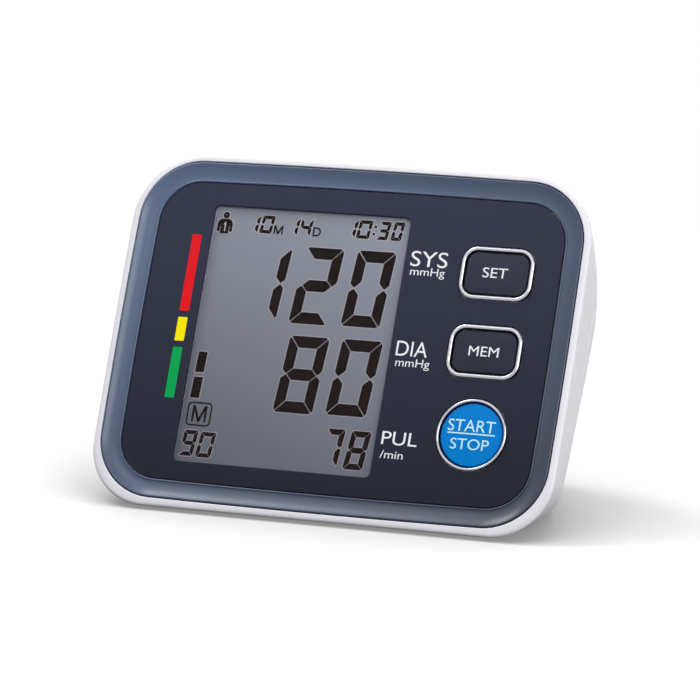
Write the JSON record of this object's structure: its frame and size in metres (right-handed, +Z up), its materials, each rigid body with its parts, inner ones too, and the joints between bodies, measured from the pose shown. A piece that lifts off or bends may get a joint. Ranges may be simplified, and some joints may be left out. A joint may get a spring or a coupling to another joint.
{
  "type": "tabletop blood pressure monitor",
  "caption": "Wedge-shaped tabletop blood pressure monitor: tilted face with display window and push buttons, air pump, valve, sensor and cells inside, side hose socket, hinged battery door.",
  "frame": {"origin": "on the table plane, under the middle of the whole object, seen from above", "axes": "+X to the right along the face width, +Y backwards, away from the user, +Z up"},
  "size_m": [0.139, 0.0752, 0.0948],
  "materials": {
    "housing": "white moulded ABS, satin with a soft gloss",
    "trim": "blue-grey trim ring, satin",
    "panel": "dark navy face panel, satin",
    "window": "clear acrylic window",
    "display": "grey liquid crystal glass",
    "natural_plastic": "natural moulded plastic",
    "elastomer": "layered conductive elastomer",
    "key_cap": "dark navy key cap, satin",
    "start_cap": "blue key cap, satin",
    "chrome": "bright plated ring",
    "black_plastic": "black moulded plastic",
    "laminate": "green circuit board",
    "steel": "zinc plated steel",
    "brass": "turned brass",
    "rubber": "grey rubber",
    "cell_wrap": "plain green printed sleeve",
    "silicone": "translucent silicone hose",
    "red_wire": "red insulation",
    "black_wire": "black insulation"
  },
  "bodies": {
    "housing": {"front_housing": "housing", "rear_housing": "housing", "trim_bezel": "trim", "face_panel": "panel", "display_window": "window", "display_glass": "display", "display_frame": "natural_plastic", "pump_head": "natural_plastic", "air_manifold": "natural_plastic", "display_connector": "elastomer", "set_button_ring": "chrome", "mem_button_ring": "chrome", "start_button_ring": "chrome", "set_switch": "black_plastic", "mem_switch": "black_plastic", "start_switch": "black_plastic", "controller_chip": "black_plastic", "pressure_sensor": "black_plastic", "buzzer": "black_plastic", "valve_body": "black_plastic", "air_socket": "black_plastic", "mains_inlet": "black_plastic", "main_board": "laminate", "board_screw_1": "steel", "board_screw_2": "steel", "housing_screw_1": "steel", "housing_screw_2": "steel", "housing_screw_3": "steel", "housing_screw_4": "steel", "battery_spring_1": "steel", "battery_spring_2": "steel", "battery_spring_3": "steel", "battery_spring_4": "steel", "contact_negative": "steel", "contact_front_link": "steel", "contact_positive": "steel", "contact_rear_link_left": "steel", "contact_rear_link_right": "steel", "pump_motor": "steel", "foot_front_left": "rubber", "foot_front_right": "rubber", "foot_rear_left": "rubber", "foot_rear_right": "rubber", "battery_cell_1": "cell_wrap", "battery_cell_2": "cell_wrap", "battery_cell_3": "cell_wrap", "battery_cell_4": "cell_wrap", "socket_hose": "silicone", "pump_hose": "silicone", "valve_hose": "silicone", "sensor_hose": "silicone", "pump_wire_positive": "red_wire", "pump_wire_negative": "black_wire"},
    "set_key": {"set_button": "key_cap"},
    "mem_key": {"mem_button": "key_cap"},
    "start_key": {"start_button": "start_cap"},
    "door": {"battery_door": "housing"},
    "crank": {"pump_crank": "brass"},
    "plunger": {"valve_plunger": "steel"}
  },
  "joints": [
    {"name": "set_press", "type": "slide", "parent": "housing", "child": "set_key", "axis": [0, 0.9013, -0.4332], "range_m": [0, 0.0007], "stiffness_N_per_m": 800, "springref_m": -0.0003},
    {"name": "mem_press", "type": "slide", "parent": "housing", "child": "mem_key", "axis": [0, 0.9013, -0.4332], "range_m": [0, 0.0007], "stiffness_N_per_m": 800, "springref_m": -0.0003},
    {"name": "start_press", "type": "slide", "parent": "housing", "child": "start_key", "axis": [0, 0.9013, -0.4332], "range_m": [0, 0.0007], "stiffness_N_per_m": 800, "springref_m": -0.0003},
    {"name": "door_hinge", "type": "hinge", "parent": "housing", "child": "door", "pos_m": [0, 0.02716, 0.002], "axis": [1, 0, 0], "range_deg": [0, 85]},
    {"name": "crank_turn", "type": "hinge", "parent": "housing", "child": "crank", "pos_m": [0, 0.01119, 0.0305], "axis": [1, 0, 0], "continuous": true},
    {"name": "plunger_slide", "type": "slide", "parent": "housing", "child": "plunger", "axis": [-1, 0, 0], "range_m": [0, 0.001], "stiffness_N_per_m": 300, "springref_m": -0.0005}
  ]
}
